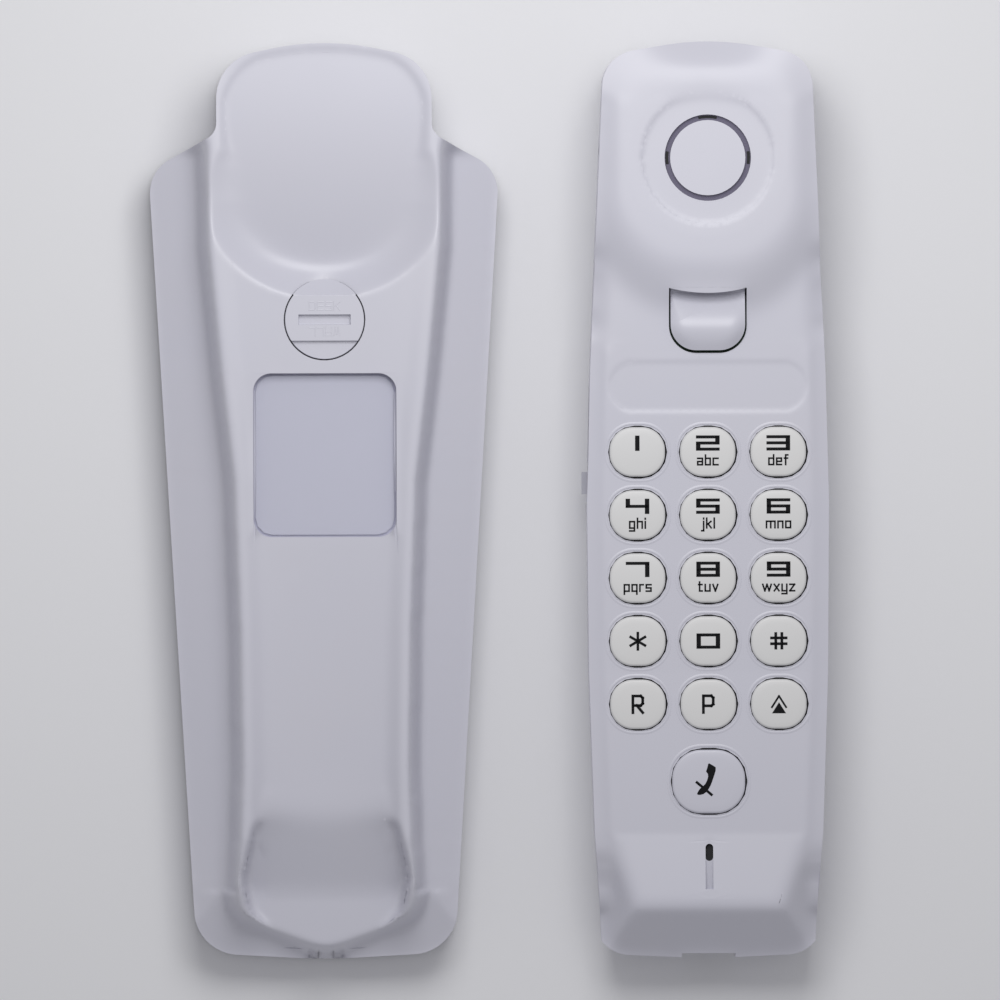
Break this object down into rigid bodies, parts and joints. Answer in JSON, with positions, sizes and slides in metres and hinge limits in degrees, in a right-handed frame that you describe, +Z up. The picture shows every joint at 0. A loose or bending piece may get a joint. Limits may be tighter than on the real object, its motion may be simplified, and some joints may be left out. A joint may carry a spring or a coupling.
{
  "type": "corded landline phone",
  "caption": "Slim corded telephone: a low cradle with ear bowl and turning wall hook, beside its handset with ear block and push-button keypad.",
  "frame": {"origin": "centre of the overall footprint, on the surface that both pieces lie on", "axes": "+Y along both pieces towards the ear end, +X from the cradle to the handset, +Z up"},
  "size_m": [0.1588, 0.2147, 0.0298],
  "materials": {
    "shell": "fine satin",
    "plate": "matt",
    "key_white": "satin",
    "knob": "satin",
    "foot_rubber": "matt",
    "zinc_steel": "plated",
    "ballast_steel": "plain",
    "window": "clear",
    "card": "paper",
    "jack_black": "matt",
    "gold_contact": "plated",
    "laminate": "lacquered",
    "membrane": "matt",
    "can": "drawn"
  },
  "bodies": {
    "base": {"base_cover": "shell", "base_plate": "plate", "base_feet": "foot_rubber", "base_screws": "zinc_steel", "ballast_plate": "ballast_steel", "hook_screw": "zinc_steel", "index_window": "window", "index_card": "card", "base_cord_jack": "jack_black", "base_cord_contacts": "gold_contact", "line_jack": "jack_black", "line_contacts": "gold_contact"},
    "handset": {"handset_face": "shell", "handset_back": "shell", "handset_screws": "zinc_steel", "circuit_board": "laminate", "board_parts": "jack_black", "keypad_membrane": "membrane", "receiver_frame": "jack_black", "receiver_magnet": "ballast_steel", "microphone": "can", "mic_boot": "membrane", "ringer_disc": "gold_contact", "hook_switch": "jack_black", "hook_pin": "zinc_steel", "handset_jack": "jack_black", "handset_contacts": "gold_contact", "ringer_switch": "jack_black"},
    "wall_hook": {"wall_hook": "shell"},
    "hook_lever": {"hook_lever": "shell"},
    "ringer_knob": {"ringer_knob": "knob"},
    "key_1": {"key_1": "key_white"},
    "key_2": {"key_2": "key_white"},
    "key_3": {"key_3": "key_white"},
    "key_4": {"key_4": "key_white"},
    "key_5": {"key_5": "key_white"},
    "key_6": {"key_6": "key_white"},
    "key_7": {"key_7": "key_white"},
    "key_8": {"key_8": "key_white"},
    "key_9": {"key_9": "key_white"},
    "key_star": {"key_star": "key_white"},
    "key_0": {"key_0": "key_white"},
    "key_hash": {"key_hash": "key_white"},
    "key_recall": {"key_recall": "key_white"},
    "key_pause": {"key_pause": "key_white"},
    "key_redial": {"key_redial": "key_white"},
    "key_flash": {"key_flash": "shell"}
  },
  "joints": [
    {"name": "handset_lift", "type": "slide", "parent": "base", "child": "handset", "axis": [0, 0, 1], "range_m": [0, 0.15]},
    {"name": "hook_turn", "type": "hinge", "parent": "base", "child": "wall_hook", "pos_m": [-0.03875, 0.0424, 0.022], "axis": [0, 0, 1], "range_deg": [0, 180]},
    {"name": "hook_press", "type": "hinge", "parent": "handset", "child": "hook_lever", "pos_m": [0.05095, 0.052, 0.0232], "axis": [1, 0, 0], "range_deg": [0, 6], "stiffness_Nm_per_rad": 0.05, "springref_deg": -8.59},
    {"name": "ringer_slide", "type": "slide", "parent": "handset", "child": "ringer_knob", "axis": [0, 1, 0], "range_m": [-0.002, 0.002]},
    {"name": "key_1_press", "type": "slide", "parent": "handset", "child": "key_1", "axis": [0, 0, -1], "range_m": [0, 0.001], "stiffness_N_per_m": 500, "springref_m": -0.0005},
    {"name": "key_2_press", "type": "slide", "parent": "handset", "child": "key_2", "axis": [0, 0, -1], "range_m": [0, 0.001], "stiffness_N_per_m": 500, "springref_m": -0.0005},
    {"name": "key_3_press", "type": "slide", "parent": "handset", "child": "key_3", "axis": [0, 0, -1], "range_m": [0, 0.001], "stiffness_N_per_m": 500, "springref_m": -0.0005},
    {"name": "key_4_press", "type": "slide", "parent": "handset", "child": "key_4", "axis": [0, 0, -1], "range_m": [0, 0.001], "stiffness_N_per_m": 500, "springref_m": -0.0005},
    {"name": "key_5_press", "type": "slide", "parent": "handset", "child": "key_5", "axis": [0, 0, -1], "range_m": [0, 0.001], "stiffness_N_per_m": 500, "springref_m": -0.0005},
    {"name": "key_6_press", "type": "slide", "parent": "handset", "child": "key_6", "axis": [0, 0, -1], "range_m": [0, 0.001], "stiffness_N_per_m": 500, "springref_m": -0.0005},
    {"name": "key_7_press", "type": "slide", "parent": "handset", "child": "key_7", "axis": [0, 0, -1], "range_m": [0, 0.001], "stiffness_N_per_m": 500, "springref_m": -0.0005},
    {"name": "key_8_press", "type": "slide", "parent": "handset", "child": "key_8", "axis": [0, 0, -1], "range_m": [0, 0.001], "stiffness_N_per_m": 500, "springref_m": -0.0005},
    {"name": "key_9_press", "type": "slide", "parent": "handset", "child": "key_9", "axis": [0, 0, -1], "range_m": [0, 0.001], "stiffness_N_per_m": 500, "springref_m": -0.0005},
    {"name": "key_star_press", "type": "slide", "parent": "handset", "child": "key_star", "axis": [0, 0, -1], "range_m": [0, 0.001], "stiffness_N_per_m": 500, "springref_m": -0.0005},
    {"name": "key_0_press", "type": "slide", "parent": "handset", "child": "key_0", "axis": [0, 0, -1], "range_m": [0, 0.001], "stiffness_N_per_m": 500, "springref_m": -0.0005},
    {"name": "key_hash_press", "type": "slide", "parent": "handset", "child": "key_hash", "axis": [0, 0, -1], "range_m": [0, 0.001], "stiffness_N_per_m": 500, "springref_m": -0.0005},
    {"name": "key_recall_press", "type": "slide", "parent": "handset", "child": "key_recall", "axis": [0, 0, -1], "range_m": [0, 0.001], "stiffness_N_per_m": 500, "springref_m": -0.0005},
    {"name": "key_pause_press", "type": "slide", "parent": "handset", "child": "key_pause", "axis": [0, 0, -1], "range_m": [0, 0.001], "stiffness_N_per_m": 500, "springref_m": -0.0005},
    {"name": "key_redial_press", "type": "slide", "parent": "handset", "child": "key_redial", "axis": [0, 0, -1], "range_m": [0, 0.001], "stiffness_N_per_m": 500, "springref_m": -0.0005},
    {"name": "key_flash_press", "type": "slide", "parent": "handset", "child": "key_flash", "axis": [0, 0, -1], "range_m": [0, 0.001], "stiffness_N_per_m": 500, "springref_m": -0.0005}
  ]
}
